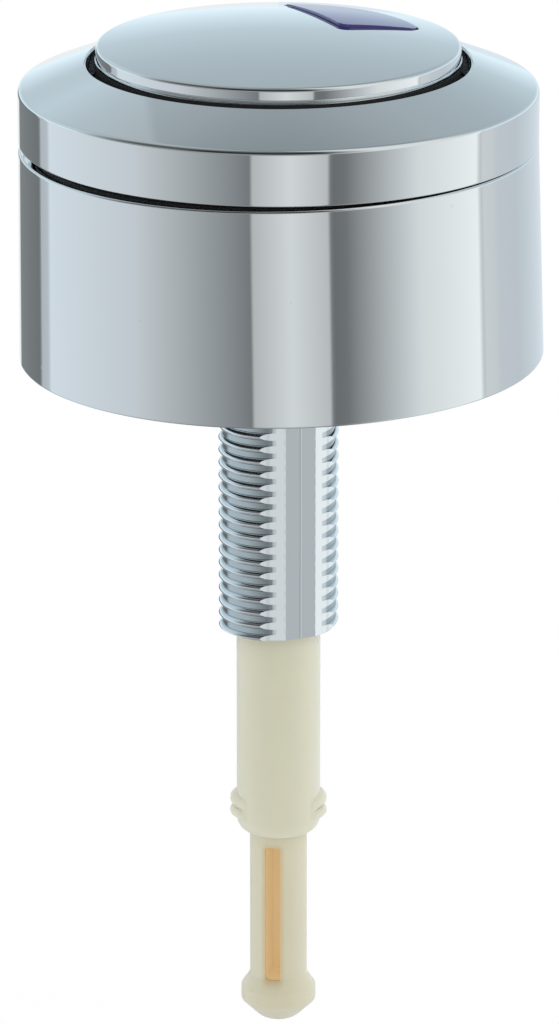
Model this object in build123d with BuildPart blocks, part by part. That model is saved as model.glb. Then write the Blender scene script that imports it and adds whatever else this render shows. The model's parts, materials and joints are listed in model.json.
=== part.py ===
from build123d import *
from math import cos, radians, sin, sqrt
import os

os.makedirs("parts", exist_ok=True)

# Push button cistern actuator, two flush volumes. Millimetres, +Z up.
# Z = 0 is the cistern lid that the collar stands on, and the origin is on the stem's axis.
# The flat of the stem faces -Y, and the corner window of the button opens towards +X and +Y.

# Collar
head_d = 68.0            # outer diameter of the ring, and of the collar at its top
collar_h = 28.4          # along the collar's own axis
collar_wall = 1.8        # at the top
collar_flare = 0.55      # how much wider its foot is, in radius
collar_lip_r = 0.6       # rounded upper edge
collar_lean = 0.8        # degrees that the loose collar sits askew under the ring
collar_touch_side = -24  # azimuth, in degrees, of the side where it touches the ring
collar_hairline = 0.04   # what is left of the seam on that side

# Head ring
ring_wall_h = 7.1        # straight outer wall
ring_cone_rise = 3.4     # rise of the sloped top face, up to the opening
ring_opening_d = 50.2
ring_wall = 1.8
ring_rim_r = 0.45        # rounded edge between the wall and the sloped face
ring_edge_r = 0.2        # rounded edges at the opening and at the foot
ring_lip_h = 3.5         # depth of the opening's inner lip
ring_lip_t = 1.6
ring_ledge_h = 4.7       # from the ring's lower edge up to the ledge that sits on the cup
ring_ledge_w = 1.2

# Button cap
cap_gap = 1.3            # round the disc, to the ring's opening
cap_above_ring = 2.2     # edge of the disc above the ring's opening
cap_dome_h = 2.2
cap_wall = 1.6
cap_edge_r = 0.2
cap_band_h = 1.5         # bright band round the disc
cap_groove_h = 0.15      # thin dark line under it
cap_groove_depth = 0.3
cap_bead_h = 0.55        # second, thinner band
cap_bead_w = 0.1         # how far that band stands out

# Corner window of the cap, and the small button in it
window_x = 7.7           # inner corner of the window; its side edge is parallel to Y
window_y = -2.4
window_front_turn = -7.0 # degrees from the X axis to its front edge
window_rim = 4.7         # from the disc's edge to the window's outer edge, an arc round the axis
window_corner_r = 1.4
window_edge_r = 0.12     # broken edge of the cap round the window
window_gap = 0.25
half_button_rise = 0.75  # top of the small button above the dome, at the window's inner corner
half_button_rise_outer = 0.35
half_button_edge_r = 0.2
half_button_skirt = 4.5  # height of the small button's walls below its top
half_button_wall = 1.3
half_button_lip_w = 1.0  # lip under the cap that keeps the small button in
half_button_lip_h = 1.2
half_button_lip_gap = 0.3

# Carrier under the cap
carrier_plate_t = 1.6
carrier_skirt_t = 1.6
carrier_rim_h = 0.8      # locating rim inside the cap
stop_flange_t = 1.4
stop_gap = 0.3           # from the stop flange to the ring's lip, at rest
hub_bore_r = 6.9
hub_wall = 1.6
hub_floor_t = 1.4
hub_seat_r = 12.2        # upper seat of the full flush spring
hub_seat_t = 1.4

# Travel and running room
full_travel = 8.0
half_travel = 5.0
push_fit = 0.1           # pieces pushed together
run_fit = 0.08           # radial room of the tube in the stem and of the rod in the tube
room = 0.3               # around pieces that pass each other
same_size = 1e-6         # two radii closer than this are one

# Slider, from the small button to the rod
slider_t = 1.6
slider_boss_r = 6.3
slider_arm_w = 4.6
post_inset = 5.5         # from the window's outer edge in to the post of the small button
slider_azimuth = 24.0
slider_post_r = 2.6
slider_peg_r = 1.45
slider_peg_h = 1.8

# Springs
half_spring_h = 8.0      # at rest
half_spring_r = 5.1      # middle of the wire
half_spring_wire = 0.5
half_spring_turns = 3    # between the closed ends
full_spring_r = 10.6
full_spring_wire = 0.9
full_spring_turns = 4
closed_gap = 0.05        # between the wires of a closed end

# Cup that carries the stem
cup_wall = 2.0
cup_floor_t = 2.0
cup_spigot_h = 4.0       # band that keeps the collar in the middle
cup_side_room = 1.0      # from the cup's side to the collar, below that band
cup_foot_r = 1.5

# Stem
stem_d = 16.0            # over the thread
stem_below_lid = 37.8
stem_shoulder_z = 8.0    # lower end of the plain neck
stem_neck_r = 8.6
stem_flange_r = 9.5
stem_flange_t = 1.6
stem_end_chamfer = 0.5
stem_flat = 7.22         # from the axis to the flat
stem_flank = 7.5         # from the axis to the two faces beside the flat
stem_flank_turn = 22.0   # degrees from the flat to either of them
stem_flat_side = -90.0   # azimuth that the flat faces

# Full flush tube
tube_d = 11.24
tube_flange_t = 1.2
tube_end_z = -67.0
tube_nose_h = 1.9
tube_nose_r = 4.3        # radius at the very end
lug_bulge = 0.9          # how far the snap beads stand out of the tube
lug_width = 8.4          # across, on the two sides that have them
upper_bead_h = 2.1
lower_bead_h = 1.35

# Half flush rod
rod_d = 7.7
rod_flange_r = 6.0
rod_flange_t = 1.4
rod_peg_r = 2.5
rod_tip_z = -94.5
rod_tip_r = 2.2
tip_cone_h = 2.8
barb_d = 10.1
barb_land_h = 1.9
barb_ramp_h = 1.8
barb_edge_r = 0.6
slot_w = 2.1
slot_below_tube = 1.7    # upper end of the slot below the tube's end
slot_depth = 5.0
slot_corner_r = 0.4
slot_azimuth = -126.0    # the rod is turned like this in its tube

# Radii that follow from the sizes above
head_r = head_d / 2
collar_bore_r = head_r - collar_wall
ring_bore_r = head_r - ring_wall
opening_r = ring_opening_d / 2
cap_r = opening_r - cap_gap
cap_bore_r = cap_r - cap_wall
cup_rim_r = ring_bore_r - push_fit
cup_spigot_r = collar_bore_r - room
cup_side_r = collar_bore_r - cup_side_room
cup_bore_r = cup_side_r - cup_wall
stop_r = cup_bore_r - room
tube_r = tube_d / 2
rod_r = rod_d / 2
stem_bore_r = tube_r + run_fit
tube_bore_r = rod_r + run_fit
hub_r = hub_bore_r + hub_wall
window_r = cap_r - window_rim
slider_reach = window_r - post_inset

# Heights that follow, from the lid upwards and then down through the button
lean = radians(collar_lean)
ring_low_z = collar_h * cos(lean) + head_r * sin(lean) + collar_hairline
rim_z = ring_low_z + ring_wall_h
opening_z = rim_z + ring_cone_rise
lip_low_z = opening_z - ring_lip_h
ledge_z = ring_low_z + ring_ledge_h
cap_edge_z = opening_z + cap_above_ring
cap_top_z = cap_edge_z + cap_dome_h
band_low_z = cap_edge_z - cap_band_h
bead_top_z = band_low_z - cap_groove_h
cap_low_z = bead_top_z - cap_bead_h
plate_low_z = cap_low_z - carrier_plate_t
stop_top_z = lip_low_z - stop_gap
stop_low_z = stop_top_z - stop_flange_t
slider_top_z = plate_low_z - room
slider_low_z = slider_top_z - slider_t
rod_flange_z = slider_low_z - rod_flange_t
tube_top_z = rod_flange_z - half_spring_h
hub_floor_z = tube_top_z - tube_flange_t
hub_low_z = hub_floor_z - hub_floor_t
hub_seat_z = slider_low_z - half_travel - room - hub_seat_t
stem_top_z = hub_low_z - full_travel - room
cup_floor_z = stem_top_z - stem_flange_t
cup_low_z = cup_floor_z - cup_floor_t
stem_low_z = -stem_below_lid

# Dome of the cap, and the tighter dome of the small button
dome_radius = (cap_r**2 + cap_dome_h**2) / (2 * cap_dome_h)
rise_drop = (half_button_rise - half_button_rise_outer) / (window_r**2 - window_x**2)
half_dome_radius = 1 / (1 / dome_radius + 2 * rise_drop)
half_dome_top_z = cap_top_z + half_button_rise + rise_drop * window_x**2


def dome_z(r, top_z, radius):
    return top_z - radius + sqrt(radius**2 - r**2)


half_button_low_z = dome_z(window_x, half_dome_top_z, half_dome_radius) - half_button_skirt
half_button_roof_z = dome_z(window_r, half_dome_top_z, half_dome_radius) - half_button_wall
cap_under_z = dome_z(window_r + half_button_lip_w, cap_top_z - cap_wall, dome_radius)
half_button_lip_z = cap_under_z - half_button_lip_gap
carrier_window_z = half_button_low_z - half_travel - room
carrier_slot_z = slider_low_z - half_travel - room


def band(r_in, r_out, low_z, high_z):
    with Locations(((r_in + r_out) / 2, (low_z + high_z) / 2)):
        Rectangle(r_out - r_in, high_z - low_z)


def corner_window(grow):
    Circle(window_r + grow)
    with Locations((window_x - grow, 0)):
        Rectangle(2 * window_r, 4 * window_r, align=(Align.MIN, Align.CENTER), mode=Mode.INTERSECT)
    with Locations(Location((window_x, window_y, 0), (0, 0, window_front_turn)) * Location((0, -grow, 0))):
        Rectangle(4 * window_r, 2 * window_r, align=(Align.CENTER, Align.MIN), mode=Mode.INTERSECT)
    fillet(vertices(), window_corner_r)


def slider_arm(grow):
    with PolarLocations(slider_reach / 2, 1, start_angle=slider_azimuth):
        Rectangle(slider_reach, slider_arm_w + 2 * grow)
    with PolarLocations(slider_reach, 1, start_angle=slider_azimuth):
        Circle(slider_arm_w / 2 + grow)


def snap_bead(low_z, high_z):
    ThreePointArc((tube_r, low_z), (tube_r + lug_bulge, (low_z + high_z) / 2), (tube_r, high_z))


def round_edges(piece, radius):
    return piece.edges().filter_by(GeomType.CIRCLE).filter_by(lambda e: abs(e.radius - radius) < same_size)


def coil(low_z, height, radius, wire_d, turns):
    closing = wire_d + closed_gap
    opening = (height - wire_d - 2 * closing) / (2 * turns)
    z = low_z + wire_d / 2
    side = 1
    for rise in [0, closing] + [opening] * (2 * turns) + [closing, 0]:
        with BuildSketch(Plane(origin=(side * radius, 0, z), z_dir=(0, side, 0))) as section:
            Circle(wire_d / 2)
        half_turn = Axis((0, 0, z + rise / 2), (side * rise, 0, 2 * radius))
        revolve(section.sketch, axis=half_turn, revolution_arc=180)
        z += rise
        side = -side


# Collar: an open sleeve that flares to its foot, turned about its upper edge by the lean
touch = radians(collar_touch_side)
collar_axis = Vector(-sin(lean) * cos(touch), -sin(lean) * sin(touch), cos(lean))
collar_top = Vector(0, 0, ring_low_z - collar_hairline - head_r * sin(lean))
collar_foot = collar_top - collar_axis * collar_h
collar_side = collar_axis.cross(Vector(0, 1, 0))
with BuildPart() as collar:
    with BuildSketch(Plane(origin=collar_foot, x_dir=collar_side, z_dir=collar_side.cross(collar_axis))):
        with BuildLine():
            Polyline(
                (collar_bore_r, 0),
                (head_r + collar_flare, 0),
                (head_r, collar_h),
                (collar_bore_r, collar_h),
                close=True,
            )
        make_face()
        fillet(vertices().sort_by(Axis.Y)[-2:].sort_by(Axis.X)[-1], collar_lip_r)
    revolve(axis=Axis(collar_foot, collar_axis))
collar.part.label = "collar"
export_step(collar.part, "parts/collar.step")

# Head ring: straight wall, sloped face, lip round the opening and a ledge inside that sits on the cup
slope = ring_cone_rise / (head_r - opening_r)
ring_under_z = rim_z - ring_wall * sqrt(1 + slope**2)
lip_r = opening_r + ring_lip_t
ledge_r = ring_bore_r - ring_ledge_w
with BuildPart() as head_ring:
    with BuildSketch(Plane.XZ):
        with BuildLine():
            Polyline(
                (ring_bore_r, ring_low_z),
                (head_r, ring_low_z),
                (head_r, rim_z),
                (opening_r, opening_z),
                (opening_r, lip_low_z),
                (lip_r, lip_low_z),
                (lip_r, ring_under_z + slope * (head_r - lip_r)),
                (ledge_r, ring_under_z + slope * (head_r - ledge_r)),
                (ledge_r, ledge_z),
                (ring_bore_r, ledge_z),
                close=True,
            )
        make_face()
    revolve(axis=Axis.Z)
    fillet(round_edges(head_ring, head_r).sort_by(Axis.Z)[-1], ring_rim_r)
    fillet(round_edges(head_ring, head_r).sort_by(Axis.Z)[0], ring_edge_r)
    fillet(round_edges(head_ring, opening_r).sort_by(Axis.Z)[-1], ring_edge_r)
head_ring.part.label = "head_ring"
export_step(head_ring.part, "parts/head_ring.step")

# Cup: rim inside the ring, spigot inside the collar, floor with the stem's hole
with BuildPart() as base_cup:
    with BuildSketch(Plane.XZ):
        band(cup_bore_r, cup_rim_r, ring_low_z, ledge_z)
        band(cup_bore_r, cup_spigot_r, ring_low_z - cup_spigot_h, ring_low_z)
        band(cup_bore_r, cup_side_r, cup_low_z, ring_low_z)
        band(stem_neck_r + push_fit, cup_side_r, cup_low_z, cup_floor_z)
    revolve(axis=Axis.Z)
    fillet(base_cup.faces().sort_by(Axis.Z)[0].edges().sort_by(SortBy.LENGTH)[-1], cup_foot_r)
base_cup.part.label = "base_cup"
export_step(base_cup.part, "parts/base_cup.step")

# Stem: flange on the cup's floor, plain neck, thread over its crests, and the flat with its two flanks
with BuildPart() as threaded_stem:
    with BuildSketch(Plane.XZ):
        band(stem_bore_r, stem_flange_r, cup_floor_z, stem_top_z)
        band(stem_bore_r, stem_neck_r, stem_shoulder_z, stem_top_z)
        band(stem_bore_r, stem_d / 2, stem_low_z, stem_top_z)
    revolve(axis=Axis.Z)
    chamfer(threaded_stem.faces().sort_by(Axis.Z)[0].edges().sort_by(SortBy.LENGTH)[-1], stem_end_chamfer)
    with BuildSketch(Plane.XY.offset(stem_low_z)):
        for turn, depth in ((-stem_flank_turn, stem_flank), (0, stem_flat), (stem_flank_turn, stem_flank)):
            with PolarLocations(depth, 1, start_angle=stem_flat_side + turn):
                Rectangle(stem_d, 2 * stem_d, align=(Align.MIN, Align.CENTER))
    extrude(amount=stem_shoulder_z - stem_low_z, mode=Mode.SUBTRACT)
threaded_stem.part.label = "threaded_stem"
export_step(threaded_stem.part, "parts/threaded_stem.step")

# Cap: domed shell with a stepped edge, and the corner window cut through it
with BuildPart() as button_cap:
    with BuildSketch(Plane.XZ):
        with BuildLine():
            ThreePointArc(
                (0, cap_top_z),
                (cap_r / 2, dome_z(cap_r / 2, cap_top_z, dome_radius)),
                (cap_r, cap_edge_z),
            )
            Polyline(
                (cap_r, cap_edge_z),
                (cap_r, band_low_z),
                (cap_r - cap_groove_depth, band_low_z),
                (cap_r - cap_groove_depth, bead_top_z),
                (cap_r + cap_bead_w, bead_top_z),
                (cap_r + cap_bead_w, cap_low_z),
                (cap_bore_r, cap_low_z),
                (cap_bore_r, dome_z(cap_bore_r, cap_top_z - cap_wall, dome_radius)),
            )
            ThreePointArc(
                (cap_bore_r, dome_z(cap_bore_r, cap_top_z - cap_wall, dome_radius)),
                (cap_bore_r / 2, dome_z(cap_bore_r / 2, cap_top_z - cap_wall, dome_radius)),
                (0, cap_top_z - cap_wall),
            )
            Line((0, cap_top_z - cap_wall), (0, cap_top_z))
        make_face()
    revolve(axis=Axis.Z)
    fillet(round_edges(button_cap, cap_r).sort_by(Axis.Z)[-1], cap_edge_r)
    with BuildSketch(Plane.XY.offset(cap_low_z)):
        corner_window(0)
    extrude(amount=cap_top_z - cap_low_z, mode=Mode.SUBTRACT)
    fillet([wall.edges().sort_by(Axis.Z)[-1] for wall in faces(Select.LAST)], window_edge_r)
button_cap.part.label = "button_cap"
export_step(button_cap.part, "parts/button_cap.step")

# Carrier: plate under the cap, skirt with the stop flange, and the hub that holds the tube's head
skirt_bore_r = cap_r - cap_groove_depth - carrier_skirt_t
rim_r = cap_bore_r - push_fit
with BuildPart() as button_carrier:
    with BuildSketch(Plane.XZ):
        band(hub_bore_r, cap_r, plate_low_z, cap_low_z)
        band(rim_r - carrier_skirt_t, rim_r, cap_low_z, cap_low_z + carrier_rim_h)
        band(skirt_bore_r, skirt_bore_r + carrier_skirt_t, stop_low_z, plate_low_z)
        band(skirt_bore_r, stop_r, stop_low_z, stop_top_z)
        band(hub_bore_r, hub_r, hub_low_z, plate_low_z)
        band(hub_bore_r, hub_seat_r, hub_seat_z, hub_seat_z + hub_seat_t)
        band(tube_r + push_fit, hub_r, hub_low_z, hub_floor_z)
    revolve(axis=Axis.Z)
    with BuildSketch(Plane.XY.offset(carrier_window_z)):
        corner_window(room)
    extrude(amount=cap_low_z + carrier_rim_h - carrier_window_z, mode=Mode.SUBTRACT)
    with BuildSketch(Plane.XY.offset(cap_low_z - carrier_plate_t)):
        corner_window(half_button_lip_w + room)
    extrude(amount=carrier_plate_t + carrier_rim_h, mode=Mode.SUBTRACT)
    with BuildSketch(Plane.XY.offset(carrier_slot_z)):
        slider_arm(room)
    extrude(amount=cap_low_z - carrier_slot_z, mode=Mode.SUBTRACT)
button_carrier.part.label = "button_carrier"
export_step(button_carrier.part, "parts/button_carrier.step")

# Full flush tube: two rows of snap beads on opposite sides, a rounded nose, and a flange in the hub
lug_low_z = tube_end_z + tube_nose_h
lug_mid_z = lug_low_z + lower_bead_h
lug_top_z = lug_mid_z + upper_bead_h
with BuildPart() as full_flush_tube:
    with BuildSketch(Plane.XZ):
        with BuildLine():
            snap_bead(lug_low_z, lug_mid_z)
            snap_bead(lug_mid_z, lug_top_z)
            Polyline(
                (tube_r, lug_top_z),
                (tube_bore_r, lug_top_z),
                (tube_bore_r, lug_low_z),
                (tube_r, lug_low_z),
            )
        make_face()
    revolve(axis=Axis.Z)
    with Locations((0, 0, (lug_low_z + lug_top_z) / 2)):
        Box(4 * tube_r, lug_width, lug_top_z - lug_low_z, mode=Mode.INTERSECT)
    with BuildSketch(Plane.XZ):
        band(tube_bore_r, hub_bore_r - push_fit, hub_floor_z, tube_top_z)
        band(tube_bore_r, tube_r, lug_low_z, hub_floor_z)
        with BuildLine():
            nose = EllipticalCenterArc(
                (tube_nose_r, lug_low_z), tube_r - tube_nose_r, tube_nose_h, start_angle=270, arc_size=90
            )
            Polyline(nose @ 1, (tube_bore_r, lug_low_z), (tube_bore_r, tube_end_z), nose @ 0)
        make_face()
    revolve(axis=Axis.Z)
full_flush_tube.part.label = "full_flush_tube"
export_step(full_flush_tube.part, "parts/full_flush_tube.step")

# Full flush spring, round the hub
with BuildPart() as full_flush_spring:
    coil(cup_floor_z, hub_seat_z - cup_floor_z, full_spring_r, full_spring_wire, full_spring_turns)
full_flush_spring.part.label = "full_flush_spring"
export_step(full_flush_spring.part, "parts/full_flush_spring.step")

# Small button: a shell that fills the window, its lip under the cap's outer edge, and the post's socket
with BuildPart() as half_flush_button:
    with BuildSketch(Plane.XY.offset(half_button_low_z)):
        corner_window(-window_gap)
    extrude(amount=half_dome_top_z - half_button_low_z)
    with BuildSketch(Plane.XZ):
        with BuildLine():
            top_arc = ThreePointArc(
                (0, half_dome_top_z),
                (window_r / 2, dome_z(window_r / 2, half_dome_top_z, half_dome_radius)),
                (window_r, dome_z(window_r, half_dome_top_z, half_dome_radius)),
            )
            Polyline(top_arc @ 1, (window_r, half_button_low_z), (0, half_button_low_z), top_arc @ 0)
        make_face()
    revolve(axis=Axis.Z, mode=Mode.INTERSECT)
    fillet(half_flush_button.faces().filter_by(GeomType.SPHERE).edges(), half_button_edge_r)
    with BuildSketch(Plane.XY.offset(half_button_lip_z)):
        corner_window(half_button_lip_w - window_gap)
        with Locations((window_x, window_y)):
            Rectangle(2 * window_r, 2 * window_r, align=(Align.MIN, Align.MIN), mode=Mode.INTERSECT)
        Circle(window_r - half_button_wall, mode=Mode.SUBTRACT)
    extrude(amount=-half_button_lip_h)
    with BuildSketch(Plane.XY.offset(half_button_low_z)):
        corner_window(-window_gap - half_button_wall)
        with PolarLocations(slider_reach, 1, start_angle=slider_azimuth):
            Circle(slider_post_r, mode=Mode.SUBTRACT)
    extrude(amount=half_button_roof_z - half_button_low_z, mode=Mode.SUBTRACT)
    with BuildSketch(Plane.XY.offset(half_button_low_z)):
        with PolarLocations(slider_reach, 1, start_angle=slider_azimuth):
            Circle(slider_peg_r + push_fit)
    extrude(amount=slider_peg_h + push_fit, mode=Mode.SUBTRACT)
half_flush_button.part.label = "half_flush_button"
export_step(half_flush_button.part, "parts/half_flush_button.step")

# Slider: boss on the rod, arm out to the small button, and the post with its peg
with BuildPart() as half_flush_slider:
    with BuildSketch(Plane.XY.offset(slider_low_z)):
        Circle(slider_boss_r)
        slider_arm(0)
        Circle(rod_peg_r + push_fit, mode=Mode.SUBTRACT)
    extrude(amount=slider_t)
    with BuildSketch(Plane.XY.offset(slider_top_z)):
        with PolarLocations(slider_reach, 1, start_angle=slider_azimuth):
            Circle(slider_post_r - push_fit)
    extrude(amount=half_button_low_z - slider_top_z)
    with BuildSketch(Plane.XY.offset(half_button_low_z)):
        with PolarLocations(slider_reach, 1, start_angle=slider_azimuth):
            Circle(slider_peg_r)
    extrude(amount=slider_peg_h)
half_flush_slider.part.label = "half_flush_slider"
export_step(half_flush_slider.part, "parts/half_flush_slider.step")

# Half flush rod: peg and flange at the slider, the long shaft, the barbed tip and the slot above it
barb_r = barb_d / 2
barb_low_z = rod_tip_z + tip_cone_h
barb_high_z = barb_low_z + barb_land_h
rod_neck_z = barb_high_z + barb_ramp_h
slot_high_z = tube_end_z - slot_below_tube
slot_facing = radians(slot_azimuth)
slot_plane = Plane(
    origin=(0, 0, (slot_high_z + rod_neck_z) / 2),
    x_dir=(0, 0, 1),
    z_dir=(cos(slot_facing), sin(slot_facing), 0),
)
with BuildPart() as half_flush_rod:
    with BuildSketch(Plane.XZ):
        with BuildLine():
            Polyline(
                (0, rod_tip_z),
                (rod_tip_r, rod_tip_z),
                (barb_r, barb_low_z),
                (barb_r, barb_high_z),
                (rod_r, rod_neck_z),
                (rod_r, rod_flange_z),
                (rod_flange_r, rod_flange_z),
                (rod_flange_r, slider_low_z),
                (rod_peg_r, slider_low_z),
                (rod_peg_r, slider_top_z),
                (0, slider_top_z),
                close=True,
            )
        make_face()
    revolve(axis=Axis.Z)
    tip_edges = half_flush_rod.edges().filter_by(GeomType.CIRCLE).group_by(Axis.Z)
    fillet(tip_edges[0] + tip_edges[1], barb_edge_r)
    with BuildSketch(slot_plane.offset(rod_r - slot_depth)):
        RectangleRounded(slot_high_z - rod_neck_z, slot_w, slot_corner_r)
    extrude(amount=slot_depth + room, mode=Mode.SUBTRACT)
half_flush_rod.part.label = "half_flush_rod"
export_step(half_flush_rod.part, "parts/half_flush_rod.step")

# Half flush spring, between the tube's head and the rod's flange
with BuildPart() as half_flush_spring:
    coil(tube_top_z, half_spring_h, half_spring_r, half_spring_wire, half_spring_turns)
half_flush_spring.part.label = "half_flush_spring"
export_step(half_flush_spring.part, "parts/half_flush_spring.step")

print("ring lower edge at", round(ring_low_z, 3), "cup floor at", round(cup_floor_z, 3))
print("stem top at", round(stem_top_z, 3), "cap top at", round(cap_top_z, 3))
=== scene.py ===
import bmesh
import bpy
import json
from math import asin, atan2, copysign, cos, hypot, pi, radians, sin, sqrt, tan
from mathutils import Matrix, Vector

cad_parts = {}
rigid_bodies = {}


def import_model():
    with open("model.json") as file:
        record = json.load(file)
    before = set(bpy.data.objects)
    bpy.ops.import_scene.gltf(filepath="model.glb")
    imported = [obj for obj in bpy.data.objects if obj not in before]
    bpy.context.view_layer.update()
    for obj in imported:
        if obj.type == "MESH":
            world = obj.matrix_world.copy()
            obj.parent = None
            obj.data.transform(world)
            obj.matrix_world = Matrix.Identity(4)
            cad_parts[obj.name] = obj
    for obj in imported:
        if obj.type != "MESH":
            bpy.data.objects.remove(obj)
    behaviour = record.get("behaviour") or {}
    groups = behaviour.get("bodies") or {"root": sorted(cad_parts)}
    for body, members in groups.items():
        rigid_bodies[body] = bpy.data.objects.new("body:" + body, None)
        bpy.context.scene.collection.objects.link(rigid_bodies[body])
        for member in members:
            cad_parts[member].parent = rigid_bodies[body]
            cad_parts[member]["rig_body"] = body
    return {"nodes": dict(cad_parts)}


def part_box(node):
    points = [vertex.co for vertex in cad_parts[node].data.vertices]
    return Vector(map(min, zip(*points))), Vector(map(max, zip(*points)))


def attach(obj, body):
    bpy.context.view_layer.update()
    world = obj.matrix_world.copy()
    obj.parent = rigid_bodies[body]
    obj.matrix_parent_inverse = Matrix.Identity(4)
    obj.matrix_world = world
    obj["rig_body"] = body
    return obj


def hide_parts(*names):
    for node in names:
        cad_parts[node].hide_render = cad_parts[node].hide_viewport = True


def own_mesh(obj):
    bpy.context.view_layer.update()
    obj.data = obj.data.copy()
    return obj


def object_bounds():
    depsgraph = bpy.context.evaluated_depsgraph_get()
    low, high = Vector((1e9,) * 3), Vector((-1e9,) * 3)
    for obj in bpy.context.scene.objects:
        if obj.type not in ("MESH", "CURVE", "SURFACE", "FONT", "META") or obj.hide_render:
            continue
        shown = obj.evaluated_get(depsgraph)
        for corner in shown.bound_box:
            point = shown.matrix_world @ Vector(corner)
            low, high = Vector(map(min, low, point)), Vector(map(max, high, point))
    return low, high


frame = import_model()
cadLow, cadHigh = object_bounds()
mm = 0.001                     # piece sizes are in mm, Blender works in metres
up = Vector((0, 0, 1))
print("frame loaded with", len(frame["nodes"]), "nodes")


# Modelling steps that several pieces use

meshing = {
    "weld": 0.002 * mm,        # points nearer than this are merged
    "trim": 0.0001 * mm,       # a point this near to a cutting plane counts as on it
    "roundSteps": 7,           # steps along a rounded corner
    "roundHold": 0.06,         # how far beside a rounding its holding points lie
    "headSteps": 288,          # faces round the head's pieces
    "stemSteps": 144,          # and round the slimmer ones
    "upright": 0.3,            # a face whose normal rises by less than this is a wall
    "slack": 0.02,             # how far a point may lie from a surface that it is on
}


def deselect():
    if bpy.context.object and bpy.context.object.mode != "OBJECT":
        bpy.ops.object.mode_set(mode="OBJECT")
    bpy.ops.object.select_all(action="DESELECT")


def selectOnly(piece):
    deselect()
    piece.select_set(True)
    bpy.context.view_layer.objects.active = piece


def applyPlace():              # puts the selected piece's place, turn and scale into its mesh
    bpy.ops.object.transform_apply(location=True, rotation=True, scale=True)


def heightsOf(node):           # lowest and highest point of a CAD node
    low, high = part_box(node)
    return low.z / mm, high.z / mm


def startPoint(name):          # a new mesh of one vertex at the origin, left in edit mode
    deselect()
    bpy.ops.mesh.primitive_plane_add(size=mm)
    piece = bpy.context.object
    piece.name = name
    piece.data.name = name
    bpy.ops.object.mode_set(mode="EDIT")
    bpy.ops.mesh.select_mode(type="VERT")
    bpy.ops.mesh.select_all(action="SELECT")
    bpy.ops.mesh.merge(type="CENTER")
    return piece


def drawLine(spots):           # extrudes that vertex from spot to spot
    here = Vector((0, 0, 0))
    for count, spot in enumerate(spots):
        there = Vector(spot) * mm
        if count == 0:
            bpy.ops.transform.translate(value=there)
        else:
            bpy.ops.mesh.extrude_region_move(TRANSFORM_OT_translate={"value": there - here})
        here = there


def tidyMesh():                # welds seams and poles, then turns the faces outwards
    bpy.ops.mesh.select_all(action="SELECT")
    bpy.ops.mesh.remove_doubles(threshold=meshing["weld"])
    bpy.ops.mesh.normals_make_consistent(inside=False)


def roundOff(corners, closed=True):
    # corners are (r, z) or (r, z, rounding); rounded ones become arcs with a holding point on either side
    steps, hold = meshing["roundSteps"], meshing["roundHold"]
    total = len(corners)
    line = []
    for n, corner in enumerate(corners):
        spot = Vector(corner[:2])
        inner = closed or 0 < n < total - 1
        if len(corner) == 2 or not inner:
            line.append(spot)
            continue
        toLast = Vector(corners[n - 1][:2]) - spot
        toNext = Vector(corners[(n + 1) % total][:2]) - spot
        half = toLast.angle(toNext) / 2
        reach = corner[2] / tan(half)
        centre = spot + (toLast.normalized() + toNext.normalized()).normalized() * corner[2] / sin(half)
        first = spot + toLast.normalized() * reach - centre
        sweep = pi - 2 * half
        if first.x * toNext.y - first.y * toNext.x < 0:
            sweep = -sweep
        if toLast.length > reach + 2 * hold:
            line.append(spot + toLast.normalized() * (reach + hold))
        for step in range(steps + 1):
            turn = sweep * step / steps
            line.append(centre + Vector((first.x * cos(turn) - first.y * sin(turn),
                                         first.x * sin(turn) + first.y * cos(turn))))
        if toNext.length > reach + 2 * hold:
            line.append(spot + toNext.normalized() * (reach + hold))
    if closed:
        line.append(line[0])
    return line


def turnedPiece(name, line, steps=meshing["headSteps"]):       # an (r, z) outline spun round the stem's axis
    piece = startPoint(name)
    drawLine([(spot.x, 0, spot.y) for spot in line])
    bpy.ops.mesh.select_all(action="SELECT")
    bpy.ops.mesh.spin(steps=steps, angle=2 * pi, center=(0, 0, 0), axis=(0, 0, 1))
    tidyMesh()
    bpy.ops.object.mode_set(mode="OBJECT")
    return piece


def prismPiece(name, spots, low, high):    # a flat outline, filled and pulled up
    prism = startPoint(name)
    drawLine([(spot[0], spot[1], low) for spot in spots + spots[:1]])
    bpy.ops.mesh.select_all(action="SELECT")
    bpy.ops.mesh.remove_doubles(threshold=meshing["weld"])
    bpy.ops.mesh.select_all(action="SELECT")
    bpy.ops.mesh.edge_face_add()
    bpy.ops.mesh.extrude_region_move(TRANSFORM_OT_translate={"value": (0, 0, (high - low) * mm)})
    tidyMesh()
    bpy.ops.object.mode_set(mode="OBJECT")
    return prism


def pick(piece, kind, wanted):             # in edit mode, selects the parts of the mesh that pass a test
    bpy.ops.mesh.select_mode(type=kind)
    bpy.ops.mesh.select_all(action="DESELECT")
    mesh = bmesh.from_edit_mesh(piece.data)
    parts = {"VERT": mesh.verts, "EDGE": mesh.edges, "FACE": mesh.faces}[kind]
    for part in parts:
        if wanted(part):
            part.select_set(True)
    bmesh.update_edit_mesh(piece.data)


def wallsBeside(edge):                     # how many of an edge's faces stand upright
    return sum(abs(face.normal.z) < meshing["upright"] for face in edge.link_faces)


def cutWith(piece, tool, operation):       # boolean with a tool mesh, which is then thrown away
    selectOnly(piece)
    cut = piece.modifiers.new(operation.lower(), "BOOLEAN")
    cut.operation = operation
    cut.object = tool
    cut.solver = "EXACT"
    bpy.ops.object.modifier_apply(modifier=cut.name)
    bpy.data.objects.remove(tool)


def finishPiece(piece, node, smoothAngle=28):    # smooth shading, then its place on the frame
    selectOnly(piece)
    bpy.ops.object.shade_smooth_by_angle(angle=radians(smoothAngle))
    body = frame["nodes"][node]["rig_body"]
    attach(piece, body)
    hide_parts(node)
    print("made", piece.name, "with", len(piece.data.polygons), "faces, riding on", body)


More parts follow.
